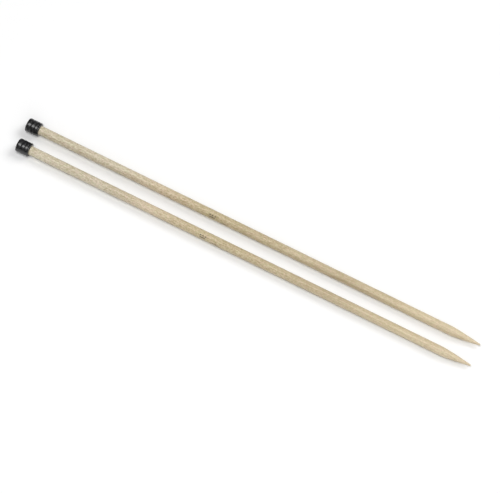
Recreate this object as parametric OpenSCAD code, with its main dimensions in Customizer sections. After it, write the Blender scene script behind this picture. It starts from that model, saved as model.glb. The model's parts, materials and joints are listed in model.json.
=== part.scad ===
// A pair of single-pointed straight knitting needles lying side by side on a flat surface.
// Each needle is a turned wooden shaft with a ribbed black cap glued on the tenon at its plain
// end. Lengths are in millimetres. The needles point along +X, +Z is up, and the origin is at
// the centre of the pair on the surface that they lie on.
//
// A needle's own outline is drawn as [radius, distance from the outer end of the cap].

/* [Needle] */
// Length of a needle, from the end of its cap to its point
needle_len = 355; // [200:5:400]
// Diameter of the shaft, which is the needle's size
shaft_d = 6.5; // [5.5:0.5:7.5]
// Length over which the shaft narrows to its point
point_len = 22; // [15:1:30]
// How full the taper is: 1 is a plain cone, and more is rounder at the shoulder
point_fullness = 1.25; // [1.05:0.05:1.6]
// Radius of the rounded nose at the very tip
nose_r = 0.64; // [0.4:0.02:1]

/* [End cap] */
// Largest diameter of the cap, across the crests of its bands and its rim
cap_d = 9.9; // [9.2:0.1:12]
// Length of the cap
cap_len = 9.8; // [8.5:0.1:14]
// Depth of the grooves that part the three bands and the rim
groove_depth = 0.2; // [0.1:0.05:0.4]
// Height of the shallow dome on the cap's outer end
dome_h = 0.1; // [0.05:0.05:0.2]
// Diameter of the shaft's tenon, which is glued into the cap
tenon_d = 5; // [3:0.1:5]
// Thickness of the wall that closes the cap's socket
end_wall = 1.8; // [1.5:0.1:2.5]

/* [Pair] */
// Distance between the two needles' axes
spacing = 16.8; // [13:0.1:40]
// How far the front needle lies ahead of the rear one
stagger = 1.5; // [0:0.1:10]

/* [Hidden] */
$fn = 96;

shaft_r = shaft_d / 2;
cap_r = cap_d / 2;
tenon_r = tenon_d / 2;

// The crests of the cap's three bands and the grooves after them, along the needle
crests = cap_len * [0.175, 0.47, 0.715];
grooves = cap_len * [0.32, 0.61, 0.845];
groove_r = cap_r - groove_depth;
rim_start = cap_len - 0.65; // where the flare after the last groove reaches the cap's full radius
end_edge_r = cap_r - 0.6; // outer edge of the domed end, where its rounded corner begins
face_r = cap_r - 0.45; // outer edge of the flat face that the shaft butts against

// The glue fills the gap round the tenon in the socket, and the gap behind its end.
glue_gap = 0.1;
butt_gap = 0.2;
butt_start = end_wall + butt_gap;
butt_chamfer = 0.4;
mouth_chamfer = 0.25;
socket_r = tenon_r + glue_gap;
glue_end = cap_len - mouth_chamfer;

// The taper narrows to the width of the nose, and the nose is most of a half ball.
nose_angle = 9; // slope of the taper's end in degrees, where the nose takes over
nose_centre = needle_len - nose_r;
nose_start = nose_centre + nose_r * sin(nose_angle);
nose_start_r = nose_r * cos(nose_angle);
taper_start = needle_len - point_len;

// A needle lies on its cap's rim and on the start of its taper, so it slopes down a little
// towards the point.
slope = atan((cap_r - shaft_r) / (taper_start - rim_start));
axis_height = rim_start * sin(slope) + cap_r * cos(slope);

// How many short straight lines each curve of the outline is made of
taper_steps = 24;
nose_steps = 8;
dome_steps = 5;
band_steps = 6;
round_steps = 10;

// The tenon's end, its side and the shoulder where the full shaft begins
tenon_points = [
    [0, butt_start],
    [tenon_r - butt_chamfer, butt_start],
    [tenon_r, butt_start + butt_chamfer],
    [tenon_r, cap_len],
    [shaft_r, cap_len]
];
taper_points = [
    for (i = [0:taper_steps - 1])
        let (t = i / taper_steps)
            [nose_start_r + (shaft_r - nose_start_r) * (1 - pow(t, point_fullness)),
             taper_start + t * (nose_start - taper_start)]
];
nose_points = [
    for (i = [0:nose_steps])
        let (a = nose_angle + i / nose_steps * (90 - nose_angle))
            [nose_r * cos(a), nose_centre + nose_r * sin(a)]
];

// The cap's domed outer end
dome_points = [
    for (i = [0:dome_steps - 1])
        let (x = i / dome_steps)
            [end_edge_r * x, dome_h * x * x]
];
// One side of a crowned band, from the place a to the place b, one of which is its crest
function band_side(a, b, crest) = [
    for (i = [0:band_steps - 1])
        let (at = a + (b - a) * i / band_steps, x = (at - crest) / (b - a))
            [cap_r - groove_depth * x * x, at]
];
// Points on a cubic curve from p to s that leaves p towards q and reaches s from r
function rounded(p, q, r, s) = [
    for (i = [0:round_steps - 1])
        let (t = i / round_steps, u = 1 - t)
            u * u * u * p + 3 * t * u * u * q + 3 * t * t * u * r + t * t * t * s
];
// The first band rounds over into the domed end, and the rim into the face.
end_round = rounded(
    [end_edge_r, dome_h], [end_edge_r + 0.35, dome_h], [cap_r, crests[0] - 1.2], [cap_r, crests[0]]
);
rim_round = rounded(
    [cap_r, rim_start], [cap_r, rim_start + 0.4], [face_r + 0.25, cap_len], [face_r, cap_len]
);
socket_points = [
    [socket_r + mouth_chamfer, cap_len],
    [socket_r, glue_end],
    [socket_r, end_wall],
    [0, end_wall]
];

module turned(points) {
    rotate_extrude() polygon(points);
}

module shaft() {
    color("wheat") turned(concat(tenon_points, taper_points, nose_points));
}

module cap() {
    color("#202022")
        turned(concat(
            dome_points, end_round,
            band_side(crests[0], grooves[0], crests[0]), band_side(grooves[0], crests[1], crests[1]),
            band_side(crests[1], grooves[1], crests[1]), band_side(grooves[1], crests[2], crests[2]),
            band_side(crests[2], grooves[2], crests[2]), [[groove_r, grooves[2]]],
            rim_round, [[face_r, cap_len]], socket_points
        ));
}

module cap_glue() {
    film = [
        [0, butt_start],
        [tenon_r - butt_chamfer, butt_start],
        [tenon_r, butt_start + butt_chamfer],
        [tenon_r, glue_end],
        [socket_r, glue_end],
        [socket_r, end_wall],
        [0, end_wall]
    ];
    color("khaki") turned(film);
}

// Lays a needle down, with its cap's end at the given distance along X and its axis at y
module lay_needle(cap_x, y) {
    translate([cap_x, y, axis_height]) rotate([0, 90 + slope, 0]) children();
}
module rear() {
    lay_needle(-(needle_len + stagger) / 2, spacing / 2) children();
}
module front() {
    lay_needle(-(needle_len - stagger) / 2, -spacing / 2) children();
}

rear() shaft();  // rear_shaft
rear() cap();  // rear_cap
rear() cap_glue();  // rear_cap_glue
front() shaft();  // front_shaft
front() cap();  // front_cap
front() cap_glue();  // front_cap_glue
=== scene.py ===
import json
from math import cos, pi, radians, sin, sqrt, tan

import bmesh
import bpy
from mathutils import Matrix, Vector, noise


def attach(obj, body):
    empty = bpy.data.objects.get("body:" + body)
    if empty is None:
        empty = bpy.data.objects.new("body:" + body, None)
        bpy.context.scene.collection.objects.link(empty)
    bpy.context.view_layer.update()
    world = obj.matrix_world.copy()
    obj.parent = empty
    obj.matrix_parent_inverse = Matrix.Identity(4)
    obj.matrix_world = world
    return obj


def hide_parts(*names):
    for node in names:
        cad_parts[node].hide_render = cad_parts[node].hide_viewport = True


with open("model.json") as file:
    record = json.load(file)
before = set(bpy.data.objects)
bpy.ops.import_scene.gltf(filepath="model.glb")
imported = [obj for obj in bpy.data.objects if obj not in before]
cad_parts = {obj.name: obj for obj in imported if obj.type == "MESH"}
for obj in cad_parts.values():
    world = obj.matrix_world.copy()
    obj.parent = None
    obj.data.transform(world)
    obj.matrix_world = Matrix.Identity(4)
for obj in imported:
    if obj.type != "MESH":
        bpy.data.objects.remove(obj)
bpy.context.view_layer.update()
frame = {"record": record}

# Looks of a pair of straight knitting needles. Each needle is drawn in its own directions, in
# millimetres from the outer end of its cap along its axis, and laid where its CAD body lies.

MM = 0.001

# Sizes of the CAD solids that the detailed pieces stand for, in millimetres
NEEDLE_LEN = 355
SHAFT_R = 3.25
POINT_LEN = 22
POINT_FULLNESS = 1.25  # 1 is a plain cone, and more is rounder at the shoulder
NOSE_R = 0.64
NOSE_ANGLE = radians(9)  # slope of the taper's end, where the nose takes over
CAP_LEN = 9.8
CAP_R = 4.95
GROOVE_DEPTH = 0.2
END_DOME = 0.1
SOCKET_END = 1.8
TENON_R = 2.5
TENON_CHAMFER = 0.4
MOUTH_CHAMFER = 0.25

CRESTS = tuple(CAP_LEN * share for share in (0.175, 0.47, 0.715))
GROOVES = tuple(CAP_LEN * share for share in (0.32, 0.61, 0.845))
RIM_START = CAP_LEN - 0.65  # where the flare after the last groove reaches the full radius
END_EDGE_R = CAP_R - 0.6  # outer edge of the domed end, where its rounded corner begins
FACE_R = CAP_R - 0.45  # outer edge of the face that the shaft butts against
SOCKET_R = TENON_R + 0.1
TENON_END = SOCKET_END + 0.2
GLUE_END = CAP_LEN - MOUTH_CHAMFER
TAPER_START = NEEDLE_LEN - POINT_LEN
NOSE_CENTRE = NEEDLE_LEN - NOSE_R
NOSE_START = NOSE_CENTRE + NOSE_R * sin(NOSE_ANGLE)
NOSE_START_R = NOSE_R * cos(NOSE_ANGLE)


# ---------------------------------------------------------------- where the needles lie

def needle_matrix(side):
    """Takes a needle's own millimetres to the row frame: X along the axis from the cap's outer
    end towards the point, Y as in the row, Z nearly up."""
    mount = next(m for m in frame["record"]["mounts"] if m["name"] == side + "_needle_shaft")
    along = Vector(mount["axis"]).normalized()
    across = Vector((0, 1, 0))
    up = along.cross(across)
    back = mount["dims"]["length_mm"] / 2 + CAP_LEN
    start = Vector(mount["pos_m"]) - along * back * MM
    turn = Matrix((along, across, up)).transposed().to_4x4()
    return Matrix.Translation(start) @ turn @ Matrix.Scale(MM, 4)


# ---------------------------------------------------------------- camera, lights and floor

VIEW_AZIMUTH = radians(28.2)
VIEW_ELEVATION = radians(65)
VIEW_WIDTH = 0.34565  # metres across the frame at the needles
SENSOR = 36
LENS = 800  # so long that the needles keep one width along their length
AIM_RIGHT = 0.00128  # the frame's centre from the pair's centre
AIM_DOWN = 0.00159
SKY = 0.17  # brightness of the even light from all round
LIGHT_DISTANCE = 3
FLOOR_HALF = 3
# Each soft box's name, the direction to it, half the angle that it fills, and its share of a
# white table's brightness
LIGHTS = (
    ("key", (-0.07, -0.23, 1), radians(17), 0.64),
    ("back", (0.52, 0.78, 1), radians(17), 0.50),
    ("fill", (0.80, -1.30, 1), radians(20), 0.21),
)


def make_camera():
    back = Vector((
        sin(VIEW_AZIMUTH) * cos(VIEW_ELEVATION),
        -cos(VIEW_AZIMUTH) * cos(VIEW_ELEVATION),
        sin(VIEW_ELEVATION),
    ))
    right = Vector((cos(VIEW_AZIMUTH), sin(VIEW_AZIMUTH), 0))
    up = back.cross(right)
    axis_height = sum(m["pos_m"][2] for m in frame["record"]["mounts"]) / 2
    aim = Vector((0, 0, axis_height)) + right * AIM_RIGHT - up * AIM_DOWN
    data = bpy.data.cameras.new("view")
    data.sensor_width = SENSOR
    data.lens = LENS
    distance = VIEW_WIDTH * LENS / SENSOR
    data.clip_start = distance / 10
    data.clip_end = distance * 10
    camera = bpy.data.objects.new("view", data)
    camera.rotation_mode = "QUATERNION"
    camera.rotation_quaternion = (-back).to_track_quat("-Z", "Y")
    camera.location = aim + back * distance
    bpy.context.collection.objects.link(camera)
    bpy.context.scene.camera = camera


def make_light(name, towards, spread, share):
    """A round soft box that faces the needles."""
    data = bpy.data.lights.new(name, "AREA")
    data.shape = "DISK"
    data.size = 2 * LIGHT_DISTANCE * tan(spread)
    data.energy = share * (pi * LIGHT_DISTANCE) ** 2
    light = bpy.data.objects.new(name, data)
    direction = Vector(towards).normalized()
    light.location = direction * LIGHT_DISTANCE
    light.rotation_mode = "QUATERNION"
    light.rotation_quaternion = direction.to_track_quat("Z", "Y")
    bpy.context.collection.objects.link(light)


def make_world(brightness):
    world = bpy.data.worlds.new("studio")
    world.use_nodes = True
    world.node_tree.nodes["Background"].inputs["Color"].default_value = (1, 1, 1, 1)
    world.node_tree.nodes["Background"].inputs["Strength"].default_value = brightness
    bpy.context.scene.world = world


def make_floor():
    mesh = bpy.data.meshes.new("floor")
    half = FLOOR_HALF
    corners = [(-half, -half, 0), (half, -half, 0), (half, half, 0), (-half, half, 0)]
    mesh.from_pydata(corners, [], [(0, 1, 2, 3)])
    floor = bpy.data.objects.new("floor", mesh)
    bpy.context.collection.objects.link(floor)
    paint = bpy.data.materials.new("floor_white")
    paint.use_nodes = True
    shader = paint.node_tree.nodes["Principled BSDF"]
    shader.inputs["Base Color"].default_value = (0.88, 0.88, 0.88, 1)
    shader.inputs["Roughness"].default_value = 0.9
    shader.inputs["Specular IOR Level"].default_value = 0
    mesh.materials.append(paint)


# ---------------------------------------------------------------- materials

class Graph:
    """A material's nodes. Each method adds a node and returns the output that others read."""

    def __init__(self, name, origin):
        self.material = bpy.data.materials.new(name)
        self.material.use_nodes = True
        self.tree = self.material.node_tree
        self.shader = self.tree.nodes["Principled BSDF"]
        place = self.add("TexCoord", output="Object")
        moved = self.add("VectorMath", {0: place, 1: tuple(origin)}, operation="SUBTRACT")
        # millimetres from the cap's outer end, along the needle and across it
        self.place = self.add("VectorMath", {0: moved, 3: 1 / MM}, operation="SCALE")

    def add(self, kind, inputs=None, output=0, **settings):
        made = self.tree.nodes.new("ShaderNode" + kind)
        for name, value in settings.items():
            setattr(made, name, value)
        for socket, value in (inputs or {}).items():
            if isinstance(value, bpy.types.NodeSocket):
                self.tree.links.new(value, made.inputs[socket])
            else:
                made.inputs[socket].default_value = value
        return made.outputs[output]

    def math(self, operation, a, b=0.0):
        return self.add("Math", {0: a, 1: b}, operation=operation)

    def length(self, a, b):
        """Distance from the place where a and b are both 0."""
        squares = self.math("POWER", a, 2.0), self.math("POWER", b, 2.0)
        return self.math("SQRT", self.math("ADD", *squares))

    def noise(self, grain, shift, turn=(0, 0, 0), detail=2.0, rough=0.5):
        """Noise from 0 to 1 whose blotches measure about grain, in millimetres."""
        scale = tuple(1 / g for g in grain)
        spot = self.add(
            "Mapping", {"Vector": self.place, "Location": shift, "Rotation": turn, "Scale": scale}
        )
        return self.add("TexNoise", {
            "Vector": spot, "Scale": 1.0, "Detail": detail, "Roughness": rough,
        }, output="Fac")

    def steps(self, value, low, high, out_low=0.0, out_high=1.0):
        """Goes smoothly from out_low to out_high while value goes from low to high."""
        return self.add("MapRange", {
            "Value": value, "From Min": low, "From Max": high, "To Min": out_low,
            "To Max": out_high,
        }, output="Result", interpolation_type="SMOOTHSTEP")

    def ramp(self, value, stops):
        """A colour from (place, colour) stops."""
        made = self.tree.nodes.new("ShaderNodeValToRGB")
        while len(made.color_ramp.elements) < len(stops):
            made.color_ramp.elements.new(1.0)
        for element, (at, colour) in zip(made.color_ramp.elements, stops):
            element.position = at
            element.color = (*colour, 1)
        self.tree.links.new(value, made.inputs["Fac"])
        return made.outputs["Color"]

    def tinted(self, colour, tint):
        return self.mix(1.0, colour, tint, blend="MULTIPLY")

    def mix(self, factor, a, b, blend="MIX"):
        colours = {
            key: value if isinstance(value, bpy.types.NodeSocket) else (*value, 1)
            for key, value in ((6, a), (7, b))
        }
        return self.add("Mix", {0: factor, **colours}, output=2, data_type="RGBA", blend_type=blend)

    def set(self, **values):
        """Sets the shader's inputs, each to a number or to another node's output."""
        for name, value in values.items():
            socket = self.shader.inputs[name.replace("_", " ")]
            if isinstance(value, bpy.types.NodeSocket):
                self.tree.links.new(value, socket)
            else:
                socket.default_value = value

    def bump(self, height, depth):
        """Turns a height from 0 to 1 into relief depth millimetres deep."""
        normal = self.add("Bump", {"Height": height, "Distance": depth * MM, "Strength": 1.0})
        self.tree.links.new(normal, self.shader.inputs["Normal"])


# The middle of the tree lies beside the needle, so the growth rings cross it as slight arcs.
RING_WIDTH = 1.35
PITH_Y = -11.0
PITH_Z = 7.0
PITH_WANDER = 3.0
GRAIN_SLOPE = 0.006

# The wood's tone from the cap to the point
WOOD_TONES = (
    (0.00, (0.645, 0.600, 0.495)),
    (0.20, (0.640, 0.583, 0.478)),
    (0.30, (0.655, 0.563, 0.430)),
    (0.40, (0.580, 0.500, 0.345)),
    (0.70, (0.570, 0.488, 0.352)),
    (0.84, (0.655, 0.567, 0.412)),
    (1.00, (0.722, 0.628, 0.480)),
)
DARK_TINT = (0.62, 0.57, 0.47)
ROSY_TINT = (1.02, 0.965, 0.94)
MOSSY_TINT = (0.975, 0.995, 0.90)


def wood(name, origin, shift):
    """Fine-grained pale wood, sanded and waxed, with its grain along the needle."""
    g = Graph(name, origin)
    x, y, z = (g.add("SeparateXYZ", {0: g.place}, output=i) for i in range(3))
    share = g.math("DIVIDE", x, NEEDLE_LEN)
    tone = g.ramp(share, WOOD_TONES)
    wander = g.math("MULTIPLY", g.noise((60, 30, 30), shift, detail=1), PITH_WANDER)
    from_pith_y = g.math("ADD", g.math("SUBTRACT", y, PITH_Y), wander)
    from_pith_z = g.math("ADD", g.math("SUBTRACT", z, PITH_Z), g.math("MULTIPLY", x, GRAIN_SLOPE))
    ring = g.math("FRACT", g.math("DIVIDE", g.length(from_pith_y, from_pith_z), RING_WIDTH))
    late = g.math("MULTIPLY", g.steps(ring, 0.55, 0.95), g.steps(ring, 0.95, 1.0, 1.0, 0.0))
    blotch = g.noise((34, 4.5, 4.5), shift, detail=3)
    ripple = g.noise((3.6, 1.2, 1.2), shift, turn=(0, 0, 0.45), detail=2, rough=0.6)
    mottle = g.noise((1.5, 0.7, 0.7), shift, turn=(0, 0, -0.3), detail=3, rough=0.65)
    fibre = g.noise((14, 0.22, 0.22), shift, detail=2, rough=0.6)
    fleck = g.steps(g.noise((2.6, 0.34, 0.34), shift, detail=1), 0.60, 0.72)
    pale = g.steps(g.noise((4.5, 0.55, 0.55), shift, turn=(0, 0, -0.1), detail=1), 0.60, 0.74)
    tint = g.noise((2.2, 0.9, 0.9), (shift[1], shift[2], shift[0]), detail=2)
    dark = g.math("ADD", g.math("MULTIPLY", late, 0.24), g.math("MULTIPLY", fleck, 0.40))
    calm = g.steps(share, 0.50, 0.72, 1.0, 0.45)  # the figure is fainter towards the point
    for pattern, low, high, fade in (
        (fibre, -0.12, 0.18, 1.0), (mottle, -0.39, 0.50, calm), (ripple, -0.18, 0.24, calm),
        (blotch, -0.08, 0.12, 1.0),
    ):
        part = g.steps(pattern, 0.32, 0.68, low, high)
        dark = g.math("ADD", dark, g.math("MULTIPLY", part, fade))
    dark = g.math("ADD", dark, g.math("MULTIPLY", pale, -0.20))
    dark = g.add("Clamp", {0: g.math("ADD", dark, 0.22)})
    colour = g.mix(dark, tone, g.tinted(tone, DARK_TINT))
    colour = g.mix(
        g.steps(tint, 0.38, 0.62), g.tinted(colour, MOSSY_TINT), g.tinted(colour, ROSY_TINT)
    )
    polish = g.steps(x, NEEDLE_LEN - 2 * POINT_LEN, NEEDLE_LEN, 0.0, -0.10)
    rough = g.math("ADD", g.steps(fibre, 0.3, 0.7, 0.40, 0.54), g.math("MULTIPLY", fleck, 0.10))
    g.set(
        Base_Color=colour, Roughness=g.math("ADD", rough, polish), Specular_IOR_Level=0.30,
        Coat_Weight=0.03, Coat_Roughness=0.32,
    )
    relief = g.math("SUBTRACT", g.math("MULTIPLY", fibre, 0.5), g.math("MULTIPLY", fleck, 0.5))
    g.bump(relief, 0.035)
    return g.material


def plastic(name, origin, shift):
    """Black moulded plastic with a fine matt grain, rubbed smoother on its crests."""
    g = Graph(name, origin)
    y, z = (g.add("SeparateXYZ", {0: g.place}, output=i) for i in (1, 2))
    crest = g.steps(g.length(y, z), CAP_R - GROOVE_DEPTH, CAP_R)
    cloud = g.noise((2.5, 2.5, 2.5), shift, detail=3)
    texture = g.noise((0.16, 0.16, 0.16), shift, detail=2)
    scratch = g.steps(
        g.noise((0.12, 2.2, 2.2), shift, turn=(0.3, 0.5, 0.2), detail=1), 0.66, 0.72
    )
    dust = g.math("MULTIPLY", g.steps(crest, 0.0, 0.5, 1.0, 0.0), g.steps(cloud, 0.4, 0.7))
    colour = g.mix(crest, (0.003, 0.003, 0.0035), (0.005, 0.005, 0.0058))
    colour = g.mix(g.math("MULTIPLY", dust, 0.12), colour, (0.05, 0.047, 0.044))
    rough = g.math("ADD", g.steps(cloud, 0.3, 0.7, 0.27, 0.34), g.math("MULTIPLY", crest, -0.03))
    rough = g.math("ADD", rough, g.math("MULTIPLY", scratch, 0.12))
    g.set(Base_Color=colour, Roughness=rough, Specular_IOR_Level=0.66)
    g.bump(g.math("ADD", texture, g.math("MULTIPLY", scratch, -0.6)), 0.006)
    return g.material


def glue(name, origin, shift):
    """Set clear-amber glue with small clouds of bubbles."""
    g = Graph(name, origin)
    cloud = g.noise((1.2, 1.2, 1.2), shift, detail=3)
    bubble = g.steps(g.noise((0.25, 0.25, 0.25), shift, detail=1), 0.62, 0.7)
    colour = g.mix(g.steps(cloud, 0.3, 0.7), (0.50, 0.36, 0.16), (0.62, 0.50, 0.28))
    colour = g.mix(bubble, colour, (0.78, 0.72, 0.58))
    g.set(Base_Color=colour, Roughness=g.steps(cloud, 0.3, 0.7, 0.16, 0.3), Coat_Weight=0.3)
    g.bump(bubble, 0.01)
    return g.material


def ink(name, origin, shift):
    """Dark print, thin where the grain below rises and rubbed off in spots."""
    g = Graph(name, origin)
    worn = g.noise((0.5, 0.16, 0.16), shift, detail=2)
    colour = g.mix(g.steps(worn, 0.42, 0.72), (0.055, 0.045, 0.036), (0.24, 0.20, 0.14))
    g.set(Base_Color=colour, Roughness=g.steps(worn, 0.3, 0.7, 0.45, 0.6))
    g.bump(worn, 0.01)
    return g.material


# ---------------------------------------------------------------- shapes

def curve(p, q, r, s, count):
    """count points on a cubic from p towards q, arriving at s from r. s itself is left out."""
    points = []
    for i in range(count):
        t = i / count
        u = 1 - t
        weights = (u * u * u, 3 * t * u * u, 3 * t * t * u, t * t * t)
        points.append(tuple(sum(w * k[axis] for w, k in zip(weights, (p, q, r, s)))
                            for axis in (0, 1)))
    return points


def line(p, q, count):
    """count points from p towards q. q itself is left out."""
    return [tuple(a + (b - a) * i / count for a, b in zip(p, q)) for i in range(count)]


def turned(name, matrix, outline, around, material, shape=None, start=0.0):
    """A closed solid turned from (along, radius) points that begin and end on the axis. shape
    may move a point: it takes along, the angle from the top and the radius."""
    bm = bmesh.new()
    rings = []
    for index, (x, r) in enumerate(outline):
        if index in (0, len(outline) - 1):
            rings.append([bm.verts.new(matrix @ Vector((x, 0, 0)))])
            continue
        ring = []
        for k in range(around):
            angle = start + 2 * pi * k / around
            at, radius = shape(x, angle, r) if shape else (x, r)
            spot = Vector((at, radius * sin(angle), radius * cos(angle)))
            ring.append(bm.verts.new(matrix @ spot))
        rings.append(ring)
    for a, b in zip(rings, rings[1:]):
        for k in range(around):
            n = (k + 1) % around
            if len(a) == 1:
                bm.faces.new((a[0], b[k], b[n]))
            elif len(b) == 1:
                bm.faces.new((a[k], b[0], a[n]))
            else:
                bm.faces.new((a[k], b[k], b[n], a[n]))
    bmesh.ops.recalc_face_normals(bm, faces=bm.faces)
    return finished(name, bm, material)


def finished(name, bm, material, sharp=35):
    """Makes a smooth piece of the mesh, with edges sharper than sharp degrees kept crisp."""
    mesh = bpy.data.meshes.new(name)
    for face in bm.faces:
        face.smooth = True
    bm.to_mesh(mesh)
    bm.free()
    mesh.set_sharp_from_angle(angle=radians(sharp))
    piece = bpy.data.objects.new(name, mesh)
    bpy.context.collection.objects.link(piece)
    mesh.materials.append(material)
    return piece


def clamped(value):
    return min(1.0, max(0.0, value))


def blotches(x, angle, r, along, across, seed):
    """Smooth noise from -1 to 1 on the surface, its blotches sized along and across the grain."""
    spot = Vector((x / along, r * sin(angle) / across + seed, r * cos(angle) / across))
    return noise.noise(spot)


SHOULDER_EDGE = 0.05  # the broken edge of the shoulder that meets the cap
SHAFT_STEPS = 300
TAPER_STEPS = 44
TAPER_CROWDING = 1.2  # more than 1 puts the taper's steps closer together at its shoulder
NOSE_STEPS = 10


def shaft_outline():
    chamfer_top = (TENON_END + TENON_CHAMFER, TENON_R)
    points = [(TENON_END, 0)]
    points += line((TENON_END, TENON_R - TENON_CHAMFER), chamfer_top, 2)
    points += line(chamfer_top, (CAP_LEN, TENON_R), 4)
    points += [(CAP_LEN, TENON_R), (CAP_LEN, SHAFT_R - SHOULDER_EDGE)]
    points += [(CAP_LEN + SHOULDER_EDGE, SHAFT_R)]
    points += line((CAP_LEN + 0.4, SHAFT_R), (TAPER_START, SHAFT_R), SHAFT_STEPS)
    for i in range(TAPER_STEPS):
        t = (i / TAPER_STEPS) ** TAPER_CROWDING
        r = NOSE_START_R + (SHAFT_R - NOSE_START_R) * (1 - t ** POINT_FULLNESS)
        points.append((TAPER_START + t * (NOSE_START - TAPER_START), r))
    for i in range(NOSE_STEPS):
        a = NOSE_ANGLE + (pi / 2 - NOSE_ANGLE) * i / NOSE_STEPS
        points.append((NOSE_CENTRE + NOSE_R * sin(a), NOSE_R * cos(a)))
    return points + [(NEEDLE_LEN, 0)]


# How deep the sanding swells, the soft grain and the point's hand-sanded facets are
SWELL = 0.012
GRAIN = 0.011
FACET = 0.035


def shaft_shape(seed):
    """Real wood isn't quite true: sanding leaves slow swells, and the soft grain lies lower."""
    def shape(x, angle, r):
        if x <= CAP_LEN + SHOULDER_EDGE:
            return x, r
        swell = SWELL * (1 + blotches(x, angle, 1.5, 30, 2.5, seed))
        grain = GRAIN * (1 + blotches(x, angle, r, 9, 0.42, seed + 7))
        facet = FACET * (1 + blotches(x, angle, 1.0, 4.5, 1.1, seed + 19))
        on_point = 1 - clamped((TAPER_START + 4 - x) / 8)
        fade = clamped((NEEDLE_LEN - x) / 6) * clamped((x - CAP_LEN) / 2)
        return x, r - (swell + grain + facet * on_point) * fade
    return shape


GATE_R = 0.85  # the moulding gate's dimple in the cap's end, and the nub left in it
GATE_DEPTH = 0.16
NUB_R = 0.42
NUB_HEIGHT = 0.09
NUB_TOP = GATE_DEPTH - NUB_HEIGHT
GROOVE_ROUND = 0.45  # how soft a groove's bottom is, from 0 for a sharp one
BAND_STEPS = 11
DOME_RADII = (0.95, 1.2, 1.7, 2.2, 2.7, 3.1, 3.5, 3.85, 4.1)
NUB_ROUGHNESS = 0.02
SEAM_HEIGHT = 0.03
SEAM_HALF = radians(1.9)
SINK = 0.012  # how far the plastic has drawn in, on average, as it cooled
# cap_shape pulls the outline in by the seam's height and the sink, to keep the seam inside the
# CAD cap. The grooves are drawn shallower by as much, so that their bottoms keep the CAD radius.
DRAWN_DEPTH = GROOVE_DEPTH - SEAM_HEIGHT - SINK


def band_r(x, crest, groove):
    """Radius of a crowned band at x, with the groove's bottom rounded."""
    share = (x - crest) / (groove - crest)
    height = 1 - share * share
    e = GROOVE_ROUND
    height = (sqrt(height * height + e * e) - e) / (sqrt(1 + e * e) - e)
    return CAP_R - DRAWN_DEPTH * (1 - height)


def band_side(a, b, crest, groove):
    """Points from a towards b, one of which is a band's crest and the other its groove."""
    spots = [a + (b - a) * i / BAND_STEPS for i in range(BAND_STEPS)]
    return [(x, band_r(x, crest, groove)) for x in spots]


# The socket's closed end, from its middle out to its side
SOCKET_CORNER = (
    (SOCKET_END, 0), (SOCKET_END, SOCKET_R - 0.1), (SOCKET_END + 0.1, SOCKET_R),
)


def cap_outline():
    # The end: the nub in the gate's dimple, the dimple's side and the shallow dome
    points = [(NUB_TOP, 0), (NUB_TOP, 0.2), (NUB_TOP + 0.01, NUB_R - 0.05)]
    points += [(NUB_TOP + 0.03, NUB_R), (GATE_DEPTH, NUB_R + 0.02)]
    points += [(GATE_DEPTH, GATE_R - 0.06), (GATE_DEPTH - 0.05, GATE_R), (0.03, GATE_R + 0.02)]
    points += [(END_DOME * (r / END_EDGE_R) ** 2, r) for r in DOME_RADII]
    points += curve((END_DOME, END_EDGE_R), (END_DOME, END_EDGE_R + 0.35),
                    (CRESTS[0] - 1.2, CAP_R), (CRESTS[0], CAP_R), 20)
    for crest, groove, next_crest in zip(CRESTS, GROOVES, (*CRESTS[1:], None)):
        points += band_side(crest, groove, crest, groove)
        if next_crest:
            points += band_side(groove, next_crest, next_crest, groove)
    # The last groove flares out to the rim, which rounds over into the face.
    at, low = GROOVES[2], CAP_R - DRAWN_DEPTH
    points += curve((at, low), (at + 0.2, low), (at + 0.3, low + 0.04), (RIM_START, CAP_R), 10)
    points += curve((RIM_START, CAP_R), (RIM_START + 0.4, CAP_R),
                    (CAP_LEN, FACE_R + 0.25), (CAP_LEN, FACE_R), 16)
    points += [(CAP_LEN, FACE_R), (CAP_LEN, SHAFT_R), (CAP_LEN, SOCKET_R + MOUTH_CHAMFER)]
    return points + [(GLUE_END, SOCKET_R), *reversed(SOCKET_CORNER)]


def cap_shape(seam, seed):
    """The two halves of the mould leave a faint raised seam down both sides of the cap."""
    def shape(x, angle, r):
        if r <= NUB_R and x < 1:
            torn = noise.noise(Vector((r * sin(angle) * 4, r * cos(angle) * 4, seed)))
            return x + abs(NUB_ROUGHNESS * torn), r
        if r < END_EDGE_R - 0.3 or (x >= CAP_LEN and r < FACE_R):
            return x, r
        off = abs((angle - seam + pi / 2) % pi - pi / 2)
        ridge = SEAM_HEIGHT * max(0.0, 1 - off / SEAM_HALF)
        flash = 0.7 + 0.3 * noise.noise(Vector((x * 1.7, seed, off)))
        spot = Vector((x / 2.5, 2 * sin(angle), 2 * cos(angle) + seed))
        sink = SINK * (1 + noise.noise(spot))
        return x, r - SEAM_HEIGHT - sink + ridge * flash
    return shape


GLUE_SAG = 0.03  # how far the glue has shrunk back between the socket and the tenon


def glue_outline():
    points = list(SOCKET_CORNER)
    points += line((SOCKET_END + 0.5, SOCKET_R), (GLUE_END, SOCKET_R), 6)
    points += [(GLUE_END, SOCKET_R), (GLUE_END - GLUE_SAG, SOCKET_R - GLUE_SAG)]
    points += [(GLUE_END - GLUE_SAG, TENON_R + GLUE_SAG), (GLUE_END, TENON_R)]
    points += line((GLUE_END - 0.1, TENON_R), (TENON_END + TENON_CHAMFER, TENON_R), 6)
    points += [(TENON_END + TENON_CHAMFER, TENON_R), (TENON_END, TENON_R - TENON_CHAMFER)]
    return points + [(TENON_END, 0)]


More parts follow.
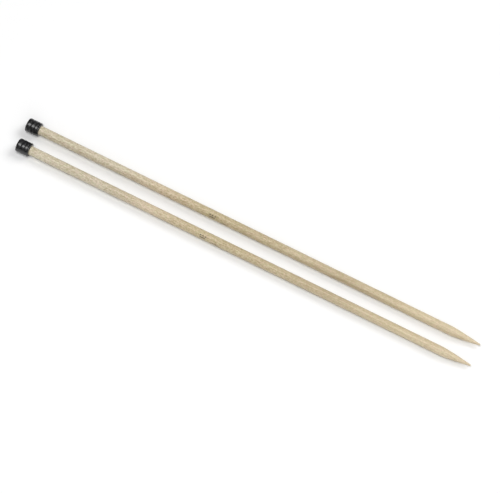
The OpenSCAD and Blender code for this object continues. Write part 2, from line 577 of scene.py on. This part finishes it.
# The print is a plain pattern that says nothing: three equal dots over a bar, and a thin bar
# beside them. Each is (centre along the needle, half its length along, half its length around)
# in millimetres, and its place in degrees round from the top towards the rear.
PRINT_MARKS = (
    (144.9, 0.55, 0.50, -36), (146.9, 0.55, 0.50, -36), (148.9, 0.55, 0.50, -36),
    (146.9, 2.80, 0.42, -62), (156.4, 4.00, 0.25, -74),
)
PRINT_PROUD = 0.006
PRINT_RAGGED = 0.08
PRINT_RINGS = 5
PRINT_SPOKES = 28


def print_marks(name, matrix, material, shape):
    """Thin patches of ink, each a rounded blot that follows the shaft."""
    bm = bmesh.new()
    for centre, half_x, half_a, place in PRINT_MARKS:
        def point(share, k):
            a = 2 * pi * k / PRINT_SPOKES
            ragged = 1 + PRINT_RAGGED * noise.noise(Vector((3 * cos(a), 3 * sin(a), centre)))
            across = half_a * share * ragged * sin(a)
            x = centre + half_x * share * ragged * cos(a)
            angle = radians(place) + across / SHAFT_R
            _, r = shape(x, angle, SHAFT_R)
            proud = PRINT_PROUD if share < 1 else -PRINT_PROUD
            return Vector((x, (r + proud) * sin(angle), (r + proud) * cos(angle)))
        middle = bm.verts.new(matrix @ point(0, 0))
        last = None
        for ring in range(1, PRINT_RINGS + 1):
            share = (ring / PRINT_RINGS) ** 0.8
            verts = [bm.verts.new(matrix @ point(share, k)) for k in range(PRINT_SPOKES)]
            for k in range(PRINT_SPOKES):
                n = (k + 1) % PRINT_SPOKES
                if last is None:
                    bm.faces.new((middle, verts[k], verts[n]))
                else:
                    bm.faces.new((last[k], verts[k], verts[n], last[n]))
            last = verts
    bmesh.ops.recalc_face_normals(bm, faces=bm.faces)
    for face in bm.faces:
        face.normal_update()
        middle = face.calc_center_median()
        outward = middle - matrix @ Vector(((matrix.inverted() @ middle).x, 0, 0))
        if face.normal.dot(outward) < 0:
            face.normal_flip()
    return finished(name, bm, material, sharp=180)


# ---------------------------------------------------------------- the needles

# How many faces go round each turned piece
SHAFT_AROUND = 96
CAP_AROUND = 144
GLUE_AROUND = 72


def make_needle(side, seed, seam):
    """One needle's pieces on its body. seed gives it a grain of its own, and seam is the angle
    from the top at which its cap's mould seam lies."""
    matrix = needle_matrix(side)
    origin = matrix.translation
    shift = (seed * 7.3, seed * 3.1, seed * 5.7)
    shape = shaft_shape(seed)
    shaft = turned(side + "_shaft_wood", matrix, shaft_outline(), SHAFT_AROUND,
                   wood(side + "_wood", origin, shift), shape)
    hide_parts(side + "_shaft")
    cap = turned(side + "_cap_moulded", matrix, cap_outline(), CAP_AROUND,
                 plastic(side + "_plastic", origin, shift),
                 cap_shape(seam, seed), start=seam)
    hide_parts(side + "_cap")
    film = turned(side + "_cap_glue_film", matrix, glue_outline(), GLUE_AROUND,
                  glue(side + "_glue", origin, shift))
    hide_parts(side + "_cap_glue")
    marks = print_marks(side + "_size_print", matrix, ink(side + "_ink", origin, shift),
                        shape)
    for piece in (shaft, cap, film, marks):
        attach(piece, side + "_needle")


bpy.context.scene.view_settings.view_transform = "Standard"
make_camera()
make_world(SKY)
for light in LIGHTS:
    make_light(*light)
make_floor()
make_needle("rear", 1.0, radians(35))
make_needle("front", 4.0, radians(-63))
